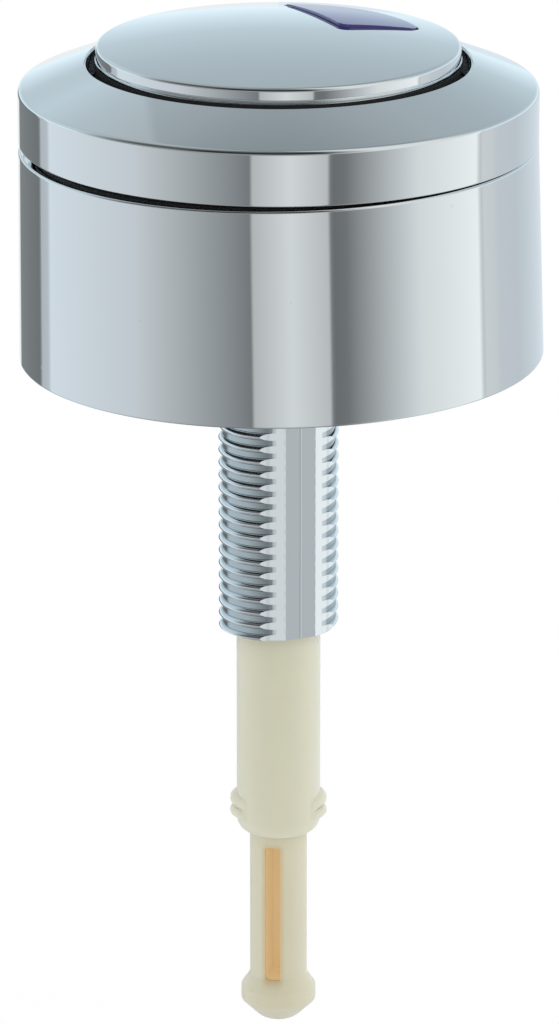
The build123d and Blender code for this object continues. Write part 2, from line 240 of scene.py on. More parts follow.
def domeHeight(r, top, radius):            # height of a dome at a distance from its axis
    return top - radius + sqrt(radius**2 - r**2)


# Head ring: straight wall, a slightly crowned slope, and the lip round its opening

ringSizes = {
    "radius": 34.0,
    "wallHeight": 7.1,
    "slopeRise": 3.5,
    "opening": 25.1,           # radius
    "wall": 1.8,
    "rimRound": 0.7,
    "edgeRound": 0.2,
    "lipDepth": 3.5,
    "lipWall": 1.6,
    "ledgeHeight": 4.7,
    "ledgeWidth": 1.2,
    "crown": 0.06,             # how far the slope bulges from a straight line
    "crownPoints": 9,
}


def makeRing(sizes):
    low = heightsOf("head_ring")[0]
    radius, opening = sizes["radius"], sizes["opening"]
    rim = low + sizes["wallHeight"]
    top = rim + sizes["slopeRise"]
    bore = radius - sizes["wall"]
    lip = opening + sizes["lipWall"]
    ledge = bore - sizes["ledgeWidth"]
    slope = sizes["slopeRise"] / (radius - opening)
    under = rim - sizes["wall"] * hypot(1, slope)
    corners = [(bore, low), (radius, low, sizes["edgeRound"]), (radius, rim, sizes["rimRound"])]
    for n in range(1, sizes["crownPoints"]):
        share = n / sizes["crownPoints"]
        bulge = sizes["crown"] * 4 * share * (1 - share)       # a parabola that is highest half way
        corners.append((radius + (opening - radius) * share, rim + (top - rim) * share + bulge))
    corners += [
        (opening, top, sizes["edgeRound"]),
        (opening, top - sizes["lipDepth"]),
        (lip, top - sizes["lipDepth"]),
        (lip, under + slope * (radius - lip)),
        (ledge, under + slope * (radius - ledge)),
        (ledge, low + sizes["ledgeHeight"]),
        (bore, low + sizes["ledgeHeight"]),
    ]
    ring = turnedPiece("chrome_ring", roundOff(corners))
    finishPiece(ring, "head_ring")
    return ring


ring = makeRing(ringSizes)


# Collar: a loose sleeve that sits a little askew under the ring

collarSizes = {
    "radius": 34.0,
    "height": 28.4,
    "wall": 1.8,
    "flare": 0.55,             # wider at its foot
    "lipRound": 0.35,
    "footRound": 0.15,
    "lean": 0.8,               # degrees
    "touchSide": -24.0,        # azimuth where it comes up to the ring, degrees from +X
    "hairline": 0.04,          # gap that is left there
}


def makeCollar(sizes):
    radius, height = sizes["radius"], sizes["height"]
    bore, foot = radius - sizes["wall"], sizes["footRound"]
    corners = [
        (bore, 0, foot),
        (radius + sizes["flare"], 0, foot),
        (radius, height, sizes["lipRound"]),
        (bore, height, foot),
    ]
    collar = turnedPiece("chrome_collar", roundOff(corners))
    lean, touch = radians(sizes["lean"]), radians(sizes["touchSide"])
    axis = Vector((-sin(lean) * cos(touch), -sin(lean) * sin(touch), cos(lean)))
    ringLow = heightsOf("head_ring")[0]
    topCentre = up * (ringLow - sizes["hairline"] - radius * sin(lean))
    selectOnly(collar)
    collar.rotation_mode = "QUATERNION"
    collar.rotation_quaternion = up.rotation_difference(axis)
    collar.location = (topCentre - axis * height) * mm
    applyPlace()
    finishPiece(collar, "collar")
    return collar


collar = makeCollar(collarSizes)


# Corner window: the outline that the cap's cut and the small button share

windowSizes = {
    "x": 7.7,                  # inner corner; the side edge is parallel to Y
    "y": -2.4,
    "frontTurn": -7.0,         # degrees from the X axis to the front edge
    "radius": 19.1,            # outer edge, an arc round the axis
    "cornerRound": 1.4,
    "edgeRound": 0.18,
    "edgeSegments": 3,
    "arcStep": radians(1.5),
    "cornerStep": radians(8),
}


def windowOutline(sizes, grow):
    turn = radians(sizes["frontTurn"])
    along, inward = Vector((cos(turn), sin(turn))), Vector((-sin(turn), cos(turn)))
    fillet, cornerStep = sizes["cornerRound"], sizes["cornerStep"]
    radius = sizes["radius"] + grow
    reach = radius - fillet
    x = sizes["x"] - grow + fillet         # the fillets' centres lie on this line and on the next
    front = inward.dot(Vector((sizes["x"], sizes["y"]))) - grow + fillet
    nearCentre = Vector((x, (front - inward.x * x) / inward.y))
    rightCentre = inward * front + along * sqrt(reach**2 - front**2)
    backCentre = Vector((x, sqrt(reach**2 - x**2)))
    rightTurn, backTurn = atan2(*rightCentre.yx), atan2(*backCentre.yx)
    arcs = [
        (nearCentre, fillet, pi, 3 * pi / 2 + turn, cornerStep),
        (rightCentre, fillet, 3 * pi / 2 + turn, 2 * pi + rightTurn, cornerStep),
        (Vector((0, 0)), radius, 2 * pi + rightTurn, 2 * pi + backTurn, sizes["arcStep"]),
        (backCentre, fillet, 2 * pi + backTurn, 3 * pi, cornerStep),
    ]
    spots = []
    for centre, r, start, end, step in arcs:
        count = max(2, round((end - start) / step))
        for n in range(count + 1):
            bearing = start + (end - start) * n / count
            spots.append(centre + Vector((cos(bearing), sin(bearing))) * r)
    return spots


# Button cap: domed disc with a bright band, a dark groove and a second thin band

capSizes = {
    "radius": 23.8,
    "domeHeight": 2.2,
    "wall": 1.6,
    "edgeRound": 0.55,
    "bandHeight": 1.5,
    "grooveHeight": 0.15,
    "grooveDepth": 0.3,
    "grooveRound": 0.05,
    "beadProud": 0.1,
    "beadRound": 0.12,
    "domePoints": 40,
}
domeRadius = (capSizes["radius"]**2 + capSizes["domeHeight"]**2) / (2 * capSizes["domeHeight"])


def makeCap(sizes):
    low, top = heightsOf("button_cap")
    radius, bore = sizes["radius"], sizes["radius"] - sizes["wall"]
    edgeTop = top - sizes["domeHeight"]
    bandLow = edgeTop - sizes["bandHeight"]
    beadTop = bandLow - sizes["grooveHeight"]
    bead = radius + sizes["beadProud"]
    points = sizes["domePoints"]
    corners = []
    for n in range(points):
        r = radius * n / points
        corners.append((r, domeHeight(r, top, domeRadius)))
    corners += [
        (radius, edgeTop, sizes["edgeRound"]),
        (radius, bandLow, sizes["grooveRound"]),
        (radius - sizes["grooveDepth"], bandLow),
        (radius - sizes["grooveDepth"], beadTop),
        (bead, beadTop, sizes["beadRound"]),
        (bead, low, sizes["beadRound"]),
        (bore, low),
    ]
    for n in range(points):
        r = bore * (1 - n / points)
        corners.append((r, domeHeight(r, top - sizes["wall"], domeRadius)))
    corners.append((0, top - sizes["wall"]))
    cap = turnedPiece("chrome_cap", roundOff(corners, closed=False))
    cutWith(cap, prismPiece("window_tool", windowOutline(windowSizes, 0), low, top), "DIFFERENCE")
    bpy.ops.object.mode_set(mode="EDIT")

    def windowEdge(edge):                  # upper edge of the cut: on the dome, and on the cut's wall
        for vert in edge.verts:
            r = hypot(vert.co.x, vert.co.y) / mm
            offDome = abs(vert.co.z / mm - domeHeight(r, top, domeRadius))
            if r > windowSizes["radius"] + meshing["slack"] or offDome > meshing["slack"]:
                return False
        return wallsBeside(edge) == 1

    pick(cap, "EDGE", windowEdge)
    bpy.ops.mesh.bevel(offset=windowSizes["edgeRound"] * mm, segments=windowSizes["edgeSegments"],
                       affect="EDGES", clamp_overlap=True)
    bpy.ops.object.mode_set(mode="OBJECT")
    finishPiece(cap, "button_cap", smoothAngle=24)
    return cap


cap = makeCap(capSizes)


# Small button: fills the window, with a tighter dome that stands proud at the inner corner

buttonSizes = {
    "gap": 0.25,
    "rise": 0.42,              # above the cap's dome at the inner corner
    "riseOuter": 0.14,
    "edgeRound": 0.22,
    "edgeSegments": 4,
    "skirt": 4.15,             # height of its walls
    "domePoints": 30,
    "spare": 1.0,              # how far the shapes that it is cut from reach past it
}


def makeButton(sizes):
    capTop = heightsOf("button_cap")[1]
    outer, inner, spare = windowSizes["radius"], windowSizes["x"], sizes["spare"]
    drop = (sizes["rise"] - sizes["riseOuter"]) / (outer**2 - inner**2)
    radius = 1 / (1 / domeRadius + 2 * drop)
    top = capTop + sizes["rise"] + drop * inner**2
    low = domeHeight(inner, top, radius) - sizes["skirt"]
    button = prismPiece("blue_button", windowOutline(windowSizes, -sizes["gap"]), low, top + spare)
    corners = []
    for n in range(sizes["domePoints"] + 1):
        r = (outer + spare) * n / sizes["domePoints"]
        corners.append((r, domeHeight(r, top, radius)))
    corners += [(outer + spare, low - spare), (0, low - spare)]
    cutWith(button, turnedPiece("dome_tool", roundOff(corners, closed=False)), "INTERSECT")
    bpy.ops.object.mode_set(mode="EDIT")

    def topEdge(edge):
        lowest = min(vert.co.z for vert in edge.verts) / mm
        return wallsBeside(edge) == 1 and lowest > low + spare

    pick(button, "EDGE", topEdge)
    bpy.ops.mesh.bevel(offset=sizes["edgeRound"] * mm, segments=sizes["edgeSegments"],
                       affect="EDGES", clamp_overlap=True)
    bpy.ops.object.mode_set(mode="OBJECT")
    finishPiece(button, "half_flush_button", smoothAngle=24)
    return button


button = makeButton(buttonSizes)


# Threaded stem: right-hand thread with softly pointed ridges, a flat and two flanks cut along it

stemSizes = {
    "crest": 8.0,              # radius over the thread
    "root": 7.52,
    "pitch": 1.75,
    "ridgeShare": 0.60,        # width of a ridge at its foot, as a share of the pitch
    "ridgePoints": 16,
    "ridgePoint": 1.45,        # power of the ridge's curve: 1 is a plain V, 2 half an ellipse
    "stepsPerTurn": 108,
    "spareTurns": 2,           # past either end, before the thread is trimmed
    "flat": 7.22,              # from the axis
    "flank": 7.5,
    "flankTurn": 22.0,         # degrees either side of the flat
    "flankReach": 8.0,         # how far the tool that cuts them goes beside the flat
    "toolDepth": 20.0,         # how far it goes in front of the axis
    "toolSpare": 2.0,          # and past the thread's ends
    "shoulder": 8.0,           # upper end of the thread
    "neck": 8.6,
    "neckOverlap": 0.5,        # how far the neck goes down into the thread
    "neckRound": 0.3,
    "flange": 9.5,
    "flangeHeight": 1.6,
    "bore": 5.7,
    "boreEdge": 0.3,
    "boreSpare": 1.0,
    "facing": 0.99995,         # a face this much in line with the flat or a flank is a part of it
    "faceFrom": 7.0,           # and lies at least this far from the axis
}


def threadOutline(sizes):      # one pitch: half a root, a ridge, half a root
    root, pitch = sizes["root"], sizes["pitch"]
    half = sizes["ridgeShare"] * pitch / 2
    power = 2 / sizes["ridgePoint"]
    spots = [(root, 0)]
    for n in range(sizes["ridgePoints"] + 1):
        turn = pi * n / sizes["ridgePoints"]
        across = copysign(abs(cos(turn))**power, cos(turn))
        spots.append((root + (sizes["crest"] - root) * max(0, sin(turn))**power, pitch / 2 - half * across))
    return spots + [(root, pitch)]


def makeThread(sizes, low):    # trimmed and closed at both ends
    pitch, shoulder, spare = sizes["pitch"], sizes["shoulder"], sizes["spareTurns"]
    thread = startPoint("chrome_stem")
    drawLine([(r, 0, z + low - spare * pitch) for r, z in threadOutline(sizes)])
    bpy.ops.object.mode_set(mode="OBJECT")
    screw = thread.modifiers.new("thread", "SCREW")
    screw.axis = "Z"
    screw.screw_offset = pitch * mm
    screw.iterations = int((shoulder - low) / pitch) + 2 * spare
    screw.steps = sizes["stepsPerTurn"]
    screw.render_steps = sizes["stepsPerTurn"]
    bpy.ops.object.modifier_apply(modifier=screw.name)
    bpy.ops.object.mode_set(mode="EDIT")
    tidyMesh()
    for level, way in ((low, -1), (shoulder, 1)):
        bpy.ops.mesh.select_all(action="SELECT")
        bpy.ops.mesh.bisect(plane_co=(0, 0, level * mm), plane_no=(0, 0, way), threshold=meshing["trim"],
                            use_fill=True, clear_outer=True)
    tidyMesh()
    bpy.ops.object.mode_set(mode="OBJECT")
    return thread


def flatTool(sizes, low):      # takes off the flat and the flanks either side of it
    turn, flat = radians(sizes["flankTurn"]), sizes["flat"]
    edge = (sizes["flank"] - flat * cos(turn)) / sin(turn)     # half the flat's width
    farX = edge + sizes["flankReach"] * cos(turn)
    farY = -flat + sizes["flankReach"] * sin(turn)
    deep = -sizes["toolDepth"]
    spots = [(-farX, farY), (-edge, -flat), (edge, -flat), (farX, farY), (farX, deep), (-farX, deep)]
    return prismPiece("flat_tool", spots, low - sizes["toolSpare"], sizes["shoulder"] + sizes["toolSpare"])


def neckTool(sizes, top):      # plain neck above the thread, with the flange that sits in the cup
    neck, flange, edge = sizes["neck"], sizes["flange"], sizes["neckRound"]
    start = sizes["shoulder"] - sizes["neckOverlap"]
    flangeLow = top - sizes["flangeHeight"]
    corners = [
        (0, start),
        (neck, start, edge),
        (neck, flangeLow),
        (flange, flangeLow),
        (flange, top, edge),
        (0, top),
    ]
    return turnedPiece("neck_tool", roundOff(corners, closed=False), meshing["stemSteps"])


def boreTool(sizes, low, top):             # hole right through, a little wider at its mouths
    bore, lead, spare = sizes["bore"], sizes["boreEdge"], sizes["boreSpare"]
    mouth = bore + lead + spare
    corners = [
        (0, low - spare),
        (mouth, low - spare),
        (bore, low + lead),
        (bore, top - lead),
        (mouth, top + spare),
        (0, top + spare),
    ]
    return turnedPiece("bore_tool", roundOff(corners, closed=False), meshing["stemSteps"])


def markFlatEdges(stem, sizes):            # keeps the edges of the flat and the flanks crisp
    bpy.ops.object.mode_set(mode="EDIT")
    for turn in (-sizes["flankTurn"], 0, sizes["flankTurn"]):
        facing = Vector((sin(radians(turn)), -cos(radians(turn)), 0))

        def onFlat(face):
            outside = face.calc_center_median().dot(facing) > sizes["faceFrom"] * mm
            return outside and face.normal.dot(facing) > sizes["facing"]

        pick(stem, "FACE", onFlat)
        bpy.ops.mesh.region_to_loop()
        bpy.ops.mesh.mark_sharp()
    bpy.ops.object.mode_set(mode="OBJECT")


def makeStem(sizes):
    low, top = heightsOf("threaded_stem")
    stem = makeThread(sizes, low)
    cutWith(stem, flatTool(sizes, low), "DIFFERENCE")
    cutWith(stem, neckTool(sizes, top), "UNION")
    cutWith(stem, boreTool(sizes, low, top), "DIFFERENCE")
    markFlatEdges(stem, sizes)
    finishPiece(stem, "threaded_stem", smoothAngle=32)
    return stem


stem = makeStem(stemSizes)


# Full flush tube: rounded nose, and two rows of snap beads on opposite sides

tubeSizes = {
    "radius": 5.62,
    "bore": 3.93,
    "noseHeight": 1.9,
    "noseRadius": 4.3,         # at the very end
    "flangeRadius": 6.8,
    "flangeHeight": 1.2,
    "beadProud": 0.9,
    "beadSunk": 0.3,           # how far a bead's root lies inside the tube's wall
    "beadFade": 0.74,          # the beads are oval in plan, so they die away round the tube
    "beadSide": -24.0,         # azimuth of the pair, degrees from +X
    "lowerBead": 1.35,         # heights of the two rows
    "upperBead": 2.1,
    "plainFrom": 0.4,          # above the upper row
    "nosePoints": 10,
    "beadPoints": 12,
}


def makeBead(sizes, low, height):          # one row, all round the tube and then narrowed to an oval
    radius, proud = sizes["radius"], sizes["beadProud"]
    middle = low + height / 2
    curve = (height**2 / 4 + proud**2) / (2 * proud)           # radius of an arc of that height and depth
    spread = asin(height / 2 / curve)
    corners = [(radius - sizes["beadSunk"], low + height), (radius - sizes["beadSunk"], low)]
    for n in range(sizes["beadPoints"] + 1):
        turn = spread * (2 * n / sizes["beadPoints"] - 1)
        corners.append((radius + proud + curve * (cos(turn) - 1), middle + curve * sin(turn)))
    bead = turnedPiece("bead_tool", roundOff(corners), meshing["stemSteps"])
    bead.scale.y = sizes["beadFade"]
    bead.rotation_euler.z = radians(sizes["beadSide"])
    selectOnly(bead)
    applyPlace()
    return bead


def makeTube(sizes):
    low, top = heightsOf("full_flush_tube")
    radius, bore, flange = sizes["radius"], sizes["bore"], sizes["flangeRadius"]
    noseTop = low + sizes["noseHeight"]
    beadTop = noseTop + sizes["lowerBead"] + sizes["upperBead"]
    flangeLow = top - sizes["flangeHeight"]
    corners = [(bore, low)]
    for n in range(sizes["nosePoints"] + 1):
        turn = pi / 2 * n / sizes["nosePoints"]
        corners.append((sizes["noseRadius"] + (radius - sizes["noseRadius"]) * sin(turn),
                        noseTop - sizes["noseHeight"] * cos(turn)))
    corners += [(radius, beadTop + sizes["plainFrom"]), (radius, flangeLow)]
    corners += [(flange, flangeLow), (flange, top), (bore, top)]
    tube = turnedPiece("ivory_tube", roundOff(corners), meshing["stemSteps"])
    rowLow = noseTop
    for height in (sizes["lowerBead"], sizes["upperBead"]):
        cutWith(tube, makeBead(sizes, rowLow, height), "UNION")
        rowLow += height
    finishPiece(tube, "full_flush_tube", smoothAngle=40)
    return tube


tube = makeTube(tubeSizes)


# Half flush rod: shaft with a long slot, and the barbed tip

rodSizes = {
    "radius": 3.85,
    "tipRadius": 2.2,
    "tipHeight": 2.8,
    "barbRadius": 5.05,
    "barbLand": 1.9,
    "barbRamp": 1.8,
    "barbRound": 0.6,
    "tipRound": 3.0,
    "rampRound": 0.5,
    "flangeRadius": 6.0,
    "flangeHeight": 1.4,
    "pegRadius": 2.5,
    "pegHeight": 1.6,
    "slotWidth": 2.1,
    "slotDepth": 5.0,
    "slotBelowTube": 1.7,
    "slotRound": 0.4,
    "slotSegments": 4,
    "slotSide": -126.0,        # azimuth that the slot faces, degrees from +X
    "slotSpare": 2.0,          # how far the tool that cuts it stands out of the rod
}


def slotEnds(sizes):           # heights between which the slot runs: from the barb's ramp to below the tube
    neck = heightsOf("half_flush_rod")[0] + sizes["tipHeight"] + sizes["barbLand"] + sizes["barbRamp"]
    return neck, heightsOf("full_flush_tube")[0] - sizes["slotBelowTube"]


def slotTool(sizes):           # a box along X with its long edges rounded, then turned to the slot's side
    low, high = slotEnds(sizes)
    length = sizes["slotDepth"] + sizes["slotSpare"]
    deselect()
    bpy.ops.mesh.primitive_cube_add(size=1)
    tool = bpy.context.object
    tool.scale = Vector((length, sizes["slotWidth"], high - low)) * mm
    tool.location = Vector((sizes["radius"] + sizes["slotSpare"] - length / 2, 0, (high + low) / 2)) * mm
    applyPlace()
    bpy.ops.object.mode_set(mode="EDIT")
    pick(tool, "EDGE", lambda edge: abs(edge.verts[0].co.x - edge.verts[1].co.x) > length / 2 * mm)
    bpy.ops.mesh.bevel(offset=sizes["slotRound"] * mm, segments=sizes["slotSegments"], affect="EDGES")
    bpy.ops.object.mode_set(mode="OBJECT")
    tool.rotation_euler.z = radians(sizes["slotSide"])
    applyPlace()
    return tool


def makeRod(sizes):
    low, top = heightsOf("half_flush_rod")
    radius, barb = sizes["radius"], sizes["barbRadius"]
    barbLow = low + sizes["tipHeight"]
    barbTop = barbLow + sizes["barbLand"]
    flangeTop = top - sizes["pegHeight"]
    flangeLow = flangeTop - sizes["flangeHeight"]
    corners = [
        (0, low),
        (sizes["tipRadius"], low, sizes["tipRound"]),
        (barb, barbLow, sizes["barbRound"]),
        (barb, barbTop, sizes["rampRound"]),
        (radius, barbTop + sizes["barbRamp"], sizes["rampRound"]),
        (radius, flangeLow),
        (sizes["flangeRadius"], flangeLow),
        (sizes["flangeRadius"], flangeTop),
        (sizes["pegRadius"], flangeTop),
        (sizes["pegRadius"], top),
        (0, top),
    ]
    rod = turnedPiece("ivory_rod", roundOff(corners, closed=False), meshing["stemSteps"])
    cutWith(rod, slotTool(sizes), "DIFFERENCE")
    finishPiece(rod, "half_flush_rod", smoothAngle=30)
    return rod


rod = makeRod(rodSizes)


# Springs: drawn half turn by half turn, with closed ends

springSizes = {
    "main": {"name": "main_spring", "node": "full_flush_spring", "radius": 10.6, "wire": 0.9, "turns": 4,
             "joint": "full_flush_press", "travel": 8.0},
    "small": {"name": "small_spring", "node": "half_flush_spring", "radius": 5.1, "wire": 0.5, "turns": 3,
              "joint": "half_flush_press", "travel": 5.0},
}
springMesh = {"closedGap": 0.05, "wireSides": 16, "halfTurnSteps": 26}


def makeSpring(sizes):
    low, high = heightsOf(sizes["node"])
    radius, wire = sizes["radius"], sizes["wire"]
    closing = wire + springMesh["closedGap"]
    opening = (high - low - wire - 2 * closing) / (2 * sizes["turns"])
    deselect()
    bpy.ops.mesh.primitive_circle_add(vertices=springMesh["wireSides"], radius=wire / 2 * mm,
                                      fill_type="NOTHING")
    spring = bpy.context.object
    spring.name = sizes["name"]
    spring.data.name = sizes["name"]
    z = low + wire / 2
    spring.rotation_euler.x = pi / 2
    spring.location = Vector((radius, 0, z)) * mm
    applyPlace()
    bpy.ops.object.mode_set(mode="EDIT")
    bpy.ops.mesh.select_all(action="SELECT")
    side = 1
    for rise in [0, closing] + [opening] * (2 * sizes["turns"]) + [closing, 0]:
        axis = Vector((side * rise, 0, 2 * radius)).normalized()
        bpy.ops.mesh.spin(steps=springMesh["halfTurnSteps"], angle=pi, center=(0, 0, (z + rise / 2) * mm),
                          axis=axis, use_auto_merge=False)
        z += rise
        side = -side
    pick(spring, "EDGE", lambda edge: edge.is_boundary)
    bpy.ops.mesh.edge_face_add()
    tidyMesh()
    bpy.ops.object.mode_set(mode="OBJECT")
    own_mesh(spring)
    finishPiece(spring, sizes["node"], smoothAngle=40)
    return spring


springs = [makeSpring(sizes) for sizes in springSizes.values()]


# Shader building blocks

def addNode(tree, kind, **settings):
    node = tree.nodes.new(kind)
    for key, value in settings.items():
        setattr(node, key, value)
    return node


def link(tree, source, target):
    tree.links.new(source, target)


def sourceOf(socket):                      # what is linked to a socket now
    return socket.links[0].from_socket


def feed(tree, socket, value):             # links a socket, or sets a plain number or colour
    if isinstance(value, (int, float, tuple)):
        socket.default_value = value
    else:
        link(tree, value, socket)


def calc(tree, operation, *values):        # a Math node on sockets or plain numbers
    node = addNode(tree, "ShaderNodeMath", operation=operation)
    for socket, value in zip(node.inputs, values):
        feed(tree, socket, value)
    return node.outputs[0]


def fadeBetween(tree, value, low, high):   # 0 below low, 1 above high, smooth between
    node = addNode(tree, "ShaderNodeMapRange", interpolation_type="SMOOTHSTEP")
    link(tree, value, node.inputs["Value"])
    node.inputs["From Min"].default_value = low
    node.inputs["From Max"].default_value = high
    return node.outputs["Result"]


def fadeOut(tree, value, low, high):       # 1 below low, 0 above high
    return calc(tree, "SUBTRACT", 1.0, fadeBetween(tree, value, low, high))


def mixColours(tree, share, first, second):
    node = addNode(tree, "ShaderNodeMix", data_type="RGBA")
    feed(tree, node.inputs[0], share)
    feed(tree, node.inputs[6], first)      # the colour sockets come after those for numbers and vectors
    feed(tree, node.inputs[7], second)
    return node.outputs[2]


def rampOf(tree, value, stops):            # stops are (position, grey or colour)
    node = addNode(tree, "ShaderNodeValToRGB")
    ramp = node.color_ramp
    while len(ramp.elements) < len(stops):
        ramp.elements.new(0.5)
    for element, (position, colour) in zip(ramp.elements, stops):
        element.position = position
        element.color = (*colour, 1) if isinstance(colour, tuple) else (colour, colour, colour, 1)
    link(tree, value, node.inputs[0])
    return node.outputs[0]


def objectCoords(tree):
    return addNode(tree, "ShaderNodeTexCoord").outputs["Object"]


def partsOf(tree, vector):                 # its x, y and z
    parts = addNode(tree, "ShaderNodeSeparateXYZ")
    link(tree, vector, parts.inputs[0])
    return parts.outputs


def turnedParts(tree, vector, degrees):    # the same in axes that are turned round Z
    turned = addNode(tree, "ShaderNodeMapping")
    turned.inputs["Rotation"].default_value = (0, 0, -radians(degrees))
    link(tree, vector, turned.inputs["Vector"])
    return partsOf(tree, turned.outputs["Vector"])


def lengthOf(tree, x, y):
    return calc(tree, "SQRT", calc(tree, "MULTIPLY_ADD", x, x, calc(tree, "MULTIPLY", y, y)))


def turnFromFront(tree, x, y):             # angle round from -Y, positive towards +X
    return calc(tree, "ARCTAN2", x, calc(tree, "MULTIPLY", y, -1.0))


def noiseAt(tree, coords, scale, detail):
    node = addNode(tree, "ShaderNodeTexNoise")
    link(tree, coords, node.inputs["Vector"])
    feed(tree, node.inputs["Scale"], scale)
    node.inputs["Detail"].default_value = detail
    return node.outputs["Fac"]


def shaderOf(material):
    tree = material.node_tree
    return tree, tree.nodes["Principled BSDF"]


def newMaterial(name):
    material = bpy.data.materials.new(name)
    material.use_nodes = True
    return (material, *shaderOf(material))


def newGroup(name, inputs, outputs):       # takes Coords and some numbers, and gives numbers
    group = bpy.data.node_groups.new(name, "ShaderNodeTree")
    group.interface.new_socket("Coords", in_out="INPUT", socket_type="NodeSocketVector")
    for label in inputs:
        group.interface.new_socket(label, in_out="INPUT", socket_type="NodeSocketFloat")
    for label in outputs:
        group.interface.new_socket(label, in_out="OUTPUT", socket_type="NodeSocketFloat")
    return group, addNode(group, "NodeGroupInput"), addNode(group, "NodeGroupOutput")


def placeGroup(tree, group, **values):
    node = addNode(tree, "ShaderNodeGroup", node_tree=group)
    link(tree, objectCoords(tree), node.inputs["Coords"])
    for label, value in values.items():
        node.inputs[label].default_value = value
    return node


def useBump(tree, shader, height, distance):
    bump = addNode(tree, "ShaderNodeBump")
    bump.inputs["Strength"].default_value = 1.0
    bump.inputs["Distance"].default_value = distance
    link(tree, height, bump.inputs["Height"])
    link(tree, bump.outputs["Normal"], shader.inputs["Normal"])


# Handling marks: slow waves in the plating, faint smears and a few specks of dust

marksLook = {
    "waves": {"scale": 70.0, "detail": 1.0},
    "smears": {"scale": 260.0, "detail": 4.0},
    "smearFrom": (0.45, 0.8),  # noise levels between which a smear comes in
    "specks": {"scale": 1300.0, "detail": 0.0},
    "speckFrom": (0.89, 0.92),
    "speckDull": 0.25,         # roughness that a speck adds
    "speckHeight": 1.5,        # its height, against that of the waves
}


def makeHandlingMarks(look):
    group, given, result = newGroup("handlingMarks", ["Shine", "Smear"], ["Roughness", "Height"])
    coords = given.outputs["Coords"]
    waves = noiseAt(group, coords, **look["waves"])
    smears = fadeBetween(group, noiseAt(group, coords, **look["smears"]), *look["smearFrom"])
    specks = fadeBetween(group, noiseAt(group, coords, **look["specks"]), *look["speckFrom"])
    smeared = calc(group, "MULTIPLY_ADD", smears, given.outputs["Smear"], given.outputs["Shine"])
    rough = calc(group, "MULTIPLY_ADD", specks, look["speckDull"], smeared)
    height = calc(group, "MULTIPLY_ADD", specks, look["speckHeight"], waves)
    link(group, rough, result.inputs["Roughness"])
    link(group, height, result.inputs["Height"])
    return group


handlingMarks = makeHandlingMarks(marksLook)


# Moulded grain: fine pitting and slow clouds of colour, for the plastics

grainLook = {"pitDetail": 3.0, "clouds": {"scale": 120.0, "detail": 2.0}}


def makeMouldedGrain(look):
    group, given, result = newGroup(
        "mouldedGrain", ["Pitting", "Gloss", "Spread"], ["Clouds", "Roughness", "Height"])
    coords = given.outputs["Coords"]
    pits = noiseAt(group, coords, given.outputs["Pitting"], look["pitDetail"])
    rough = calc(group, "MULTIPLY_ADD", pits, given.outputs["Spread"], given.outputs["Gloss"])
    link(group, noiseAt(group, coords, **look["clouds"]), result.inputs["Clouds"])
    link(group, rough, result.inputs["Roughness"])
    link(group, pits, result.inputs["Height"])
    return group


mouldedGrain = makeMouldedGrain(grainLook)
print("shared effects made")


# Chrome: mirror plate on the head, slightly duller on the stem

chromeLooks = {
    "bright_chrome": {"colour": (0.90, 0.915, 0.92, 1), "shine": 0.03, "smear": 0.025, "waves": 0.006 * mm},
    "stem_chrome": {"colour": (0.90, 0.93, 0.955, 1), "shine": 0.09, "smear": 0.06, "waves": 0.004 * mm},
}


def makeMetal(name, look):
    material, tree, shader = newMaterial(name)
    shader.inputs["Base Color"].default_value = look["colour"]
    shader.inputs["Metallic"].default_value = 1.0
    marks = placeGroup(tree, handlingMarks, Shine=look["shine"], Smear=look["smear"])
    link(tree, marks.outputs["Roughness"], shader.inputs["Roughness"])
    useBump(tree, shader, marks.outputs["Height"], look["waves"])
    return material


brightChrome, stemChrome = [makeMetal(name, look) for name, look in chromeLooks.items()]

# A parting line runs down the middle of the stem's flat
partingLine = {"halfWidth": 0.16 * mm, "front": -7.0 * mm, "height": 2.5}


def addPartingLine(material, line):
    tree = material.node_tree
    bump = tree.nodes["Bump"]
    plain = sourceOf(bump.inputs["Height"])
    x, y = partsOf(tree, objectCoords(tree))[:2]
    ridge = fadeOut(tree, calc(tree, "ABSOLUTE", x), 0.0, line["halfWidth"])
    onFlat = calc(tree, "LESS_THAN", y, line["front"])
    raised = calc(tree, "MULTIPLY", calc(tree, "MULTIPLY", ridge, onFlat), line["height"])
    link(tree, calc(tree, "ADD", plain, raised), bump.inputs["Height"])


addPartingLine(stemChrome, partingLine)

# Painted shade in the roots of the thread: the plating's colour is darkened there, clear of the flat and its
# flanks
threadRootShade = {
    "colour": (0.56, 0.62, 0.64, 1),
    "beside": (31.0, 36.0),    # degrees from the flat between which it comes in
    "depth": (7.56 * mm, 7.8 * mm),        # radii between which it thins out
}


def addThreadRootShade(material, rootShade):
    tree, shader = shaderOf(material)
    x, y = partsOf(tree, objectCoords(tree))[:2]
    start, end = rootShade["beside"]
    fromFlat = calc(tree, "ABSOLUTE", turnFromFront(tree, x, y))
    beside = fadeBetween(tree, fromFlat, radians(start), radians(end))
    deep = fadeOut(tree, lengthOf(tree, x, y), *rootShade["depth"])
    clean = tuple(shader.inputs["Base Color"].default_value)
    # painted shade: the base colour is darkened in the thread's roots, away from the flat
    rootShaded = mixColours(tree, calc(tree, "MULTIPLY", beside, deep), clean, rootShade["colour"])
    link(tree, rootShaded, shader.inputs["Base Color"])


addThreadRootShade(stemChrome, threadRootShade)


# Plastics: one look each, on the shared grain

